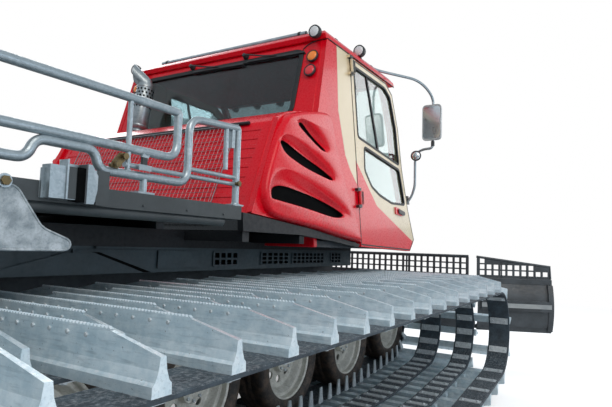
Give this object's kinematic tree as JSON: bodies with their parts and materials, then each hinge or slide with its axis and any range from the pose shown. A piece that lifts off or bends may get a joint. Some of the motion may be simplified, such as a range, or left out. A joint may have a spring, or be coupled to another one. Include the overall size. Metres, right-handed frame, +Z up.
{
  "type": "tracked snow groomer with front blade and rear tiller",
  "caption": "Tracked snow groomer with a glazed cab, low-railed load bed, folding front blade and a rear snow tiller, on two wide belt tracks with metal crossbars.",
  "frame": {"origin": "on the ground, on the centre line, at the middle of the whole length", "axes": "+X forwards, +Y to the left, +Z up"},
  "size_m": [8.3616, 5.204, 3.026],
  "materials": {
    "frame_dark": "satin",
    "sprocket_plastic": "matte",
    "tyre": "matte",
    "rim_steel": "satin",
    "track_bars": "satin",
    "bed_dark": "satin",
    "galvanised": "satin",
    "engine_iron": "matte",
    "body_red": "gloss",
    "exhaust_steel": "satin",
    "body_cream": "gloss",
    "glass": "gloss",
    "seat_fabric": "matte",
    "trim_plastic": "matte",
    "lamp_lens": "gloss",
    "blade_dark": "satin",
    "barrel_grey": "satin",
    "rod_chrome": "gloss",
    "finisher_rubber": "matte"
  },
  "bodies": {
    "chassis": {"hull_tub": "frame_dark", "frame_box": "frame_dark", "wheel_arms": "frame_dark", "sprockets": "sprocket_plastic", "tyres_right": "tyre", "tyres_left": "tyre", "wheel_discs": "rim_steel", "track_right": "track_bars", "track_left": "track_bars", "load_bed": "bed_dark", "bed_rails": "galvanised", "engine_block": "engine_iron", "engine_house": "body_red", "gill_right": "body_red", "gill_left": "body_red", "exhaust": "exhaust_steel", "cab_floor": "frame_dark", "cab_rear_wall": "body_red", "cab_side_right": "body_cream", "cab_side_left": "body_cream", "cab_roof": "body_red", "cab_front": "body_red", "windscreen": "glass", "rear_glass": "glass", "seats": "seat_fabric", "console": "trim_plastic", "mirrors": "trim_plastic", "lamps": "lamp_lens", "wipers": "trim_plastic", "roof_rail": "galvanised"},
    "door_right": {"door_right": "body_cream", "door_glass_right": "glass"},
    "door_left": {"door_left": "body_cream", "door_glass_left": "glass"},
    "push_frame": {"push_frame": "frame_dark"},
    "blade_barrels": {"blade_barrels": "barrel_grey"},
    "blade_rods": {"blade_rods": "rod_chrome"},
    "blade_carrier": {"blade_carrier": "frame_dark"},
    "blade": {"blade_middle": "blade_dark"},
    "wing_right": {"wing_right": "blade_dark"},
    "wing_left": {"wing_left": "blade_dark"},
    "rear_lift": {"rear_lift": "frame_dark"},
    "lift_barrels": {"lift_barrels": "barrel_grey"},
    "lift_rods": {"lift_rods": "rod_chrome"},
    "tiller": {"tiller_housing": "body_red", "finisher": "finisher_rubber"},
    "tiller_rotor": {"tiller_rotor": "frame_dark"},
    "side_finisher_right": {"side_finisher_right": "finisher_rubber"},
    "side_finisher_left": {"side_finisher_left": "finisher_rubber"}
  },
  "joints": [
    {"name": "door_right_hinge", "type": "hinge", "parent": "chassis", "child": "door_right", "pos_m": [1.55734, -1.13305, 2.00003], "axis": [0.0948, -0.0497, -0.9943], "range_deg": [0, 75]},
    {"name": "door_left_hinge", "type": "hinge", "parent": "chassis", "child": "door_left", "pos_m": [1.55734, 1.13305, 2.00003], "axis": [-0.0948, -0.0497, 0.9943], "range_deg": [0, 75]},
    {"name": "blade_lift", "type": "hinge", "parent": "chassis", "child": "push_frame", "pos_m": [2.525, 0, 0.52], "axis": [0, -1, 0], "range_deg": [-12, 20]},
    {"name": "blade_barrel_swing", "type": "hinge", "parent": "chassis", "child": "blade_barrels", "pos_m": [2.525, 0, 0.97], "axis": [0, -1, 0], "range_deg": [-10.7, 17.17]},
    {"name": "blade_rod_stroke", "type": "slide", "parent": "blade_barrels", "child": "blade_rods", "axis": [0.9374, 0, -0.3482], "range_m": [-0.15108, 0.09145]},
    {"name": "blade_tilt", "type": "hinge", "parent": "push_frame", "child": "blade_carrier", "pos_m": [3.325, 0, 0.54], "axis": [1, 0, 0], "range_deg": [-6, 6]},
    {"name": "blade_angle", "type": "hinge", "parent": "blade_carrier", "child": "blade", "pos_m": [3.525, 0, 0.54], "axis": [0, 0, 1], "range_deg": [-18, 18]},
    {"name": "wing_right_fold", "type": "hinge", "parent": "blade", "child": "wing_right", "pos_m": [3.875, -1.515, 0.5], "axis": [0, 0, 1], "range_deg": [-22, 45]},
    {"name": "wing_left_fold", "type": "hinge", "parent": "blade", "child": "wing_left", "pos_m": [3.875, 1.515, 0.5], "axis": [0, 0, -1], "range_deg": [-22, 45]},
    {"name": "tiller_lift", "type": "hinge", "parent": "chassis", "child": "rear_lift", "pos_m": [-2.075, 0, 0.56], "axis": [0, 1, 0], "range_deg": [-5, 25]},
    {"name": "lift_barrel_swing", "type": "hinge", "parent": "chassis", "child": "lift_barrels", "pos_m": [-2.075, 0, 0.97], "axis": [0, 1, 0], "range_deg": [-5.21, 22.07]},
    {"name": "lift_rod_stroke", "type": "slide", "parent": "lift_barrels", "child": "lift_rods", "axis": [-0.945, 0, -0.3271], "range_m": [-0.17676, 0.03695]},
    {"name": "tiller_swing", "type": "hinge", "parent": "rear_lift", "child": "tiller", "pos_m": [-2.765, 0, 0.66], "axis": [0, 0, 1], "range_deg": [-8, 8]},
    {"name": "rotor_spin", "type": "hinge", "parent": "tiller", "child": "tiller_rotor", "pos_m": [-3.175, 0, 0.33], "axis": [0, 1, 0], "continuous": true},
    {"name": "side_finisher_right_fold", "type": "hinge", "parent": "tiller", "child": "side_finisher_right", "pos_m": [-3.725, -2.182, 0.24], "axis": [-1, 0, 0], "range_deg": [0, 85]},
    {"name": "side_finisher_left_fold", "type": "hinge", "parent": "tiller", "child": "side_finisher_left", "pos_m": [-3.725, 2.182, 0.24], "axis": [1, 0, 0], "range_deg": [0, 85]}
  ],
  "couplings": [
    {"joint": "blade_barrel_swing", "follows": "blade_lift", "ratio": 0.80854},
    {"joint": "blade_rod_stroke", "follows": "blade_lift", "m_per_rad": -0.42707},
    {"joint": "lift_barrel_swing", "follows": "tiller_lift", "ratio": 0.84284},
    {"joint": "lift_rod_stroke", "follows": "tiller_lift", "m_per_rad": -0.40051}
  ]
}
